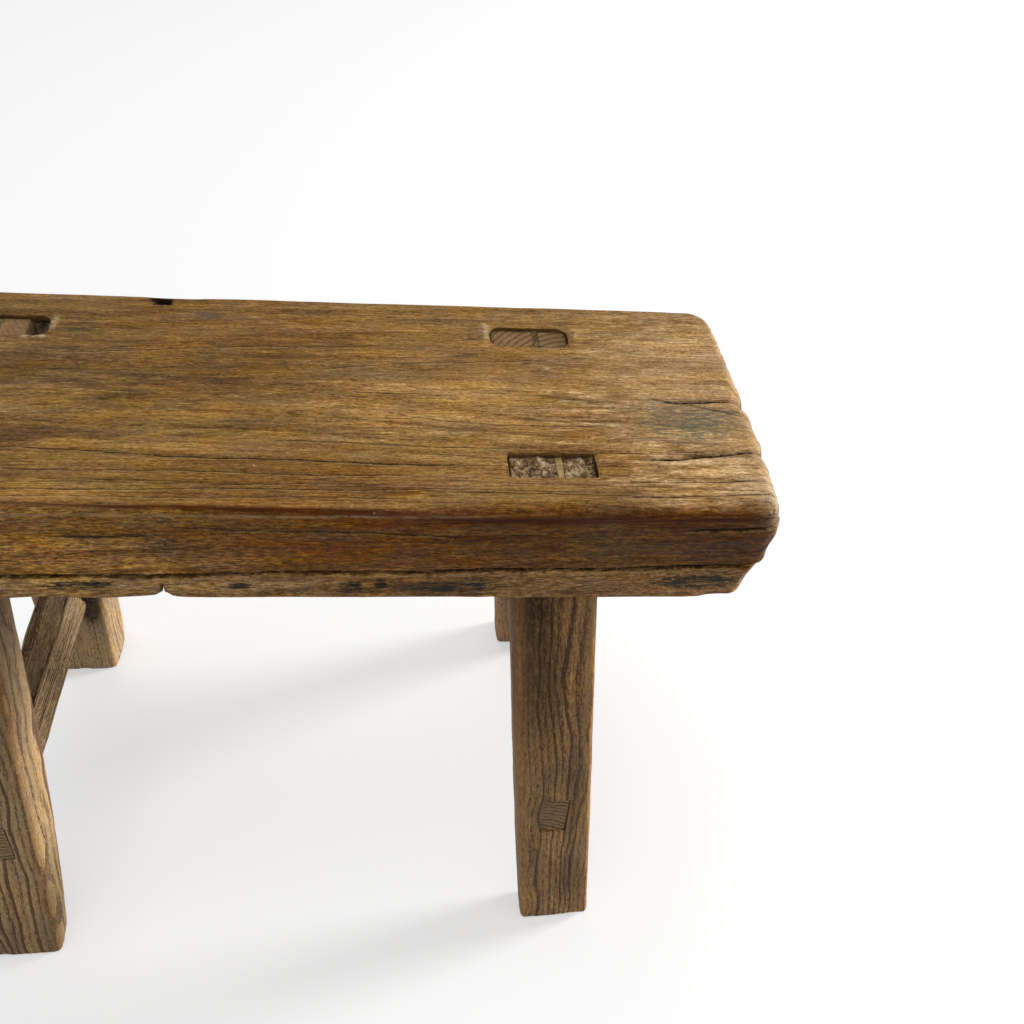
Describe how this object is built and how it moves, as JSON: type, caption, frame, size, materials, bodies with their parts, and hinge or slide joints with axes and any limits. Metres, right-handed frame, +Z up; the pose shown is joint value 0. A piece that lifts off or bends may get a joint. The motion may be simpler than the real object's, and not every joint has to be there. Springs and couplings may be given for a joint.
{
  "type": "wooden stool",
  "caption": "Low plank-topped wooden stool with splayed legs on wedged through tenons and end stretchers, worn and cracked, for sitting on.",
  "frame": {"origin": "on the floor under the middle of the seat", "axes": "+X along the seat to its right end, +Y across the seat to its rear side, +Z up"},
  "size_m": [0.2722, 0.1456, 0.213],
  "materials": {
    "seat_wood": "old dry wood, rubbed to a dull shine",
    "leg_wood": "old dry wood, weathered",
    "stretcher_wood": "old dry wood, ridged by weather",
    "wedge_wood": "end grain, dry"
  },
  "bodies": {
    "root": {"seat_board": "seat_wood", "leg_front_left": "leg_wood", "leg_front_right": "leg_wood", "leg_rear_left": "leg_wood", "leg_rear_right": "leg_wood", "stretcher_left": "stretcher_wood", "stretcher_right": "stretcher_wood", "wedge_front_left": "wedge_wood", "wedge_front_right": "wedge_wood", "wedge_rear_left": "wedge_wood", "wedge_rear_right": "wedge_wood"}
  },
  "joints": []
}
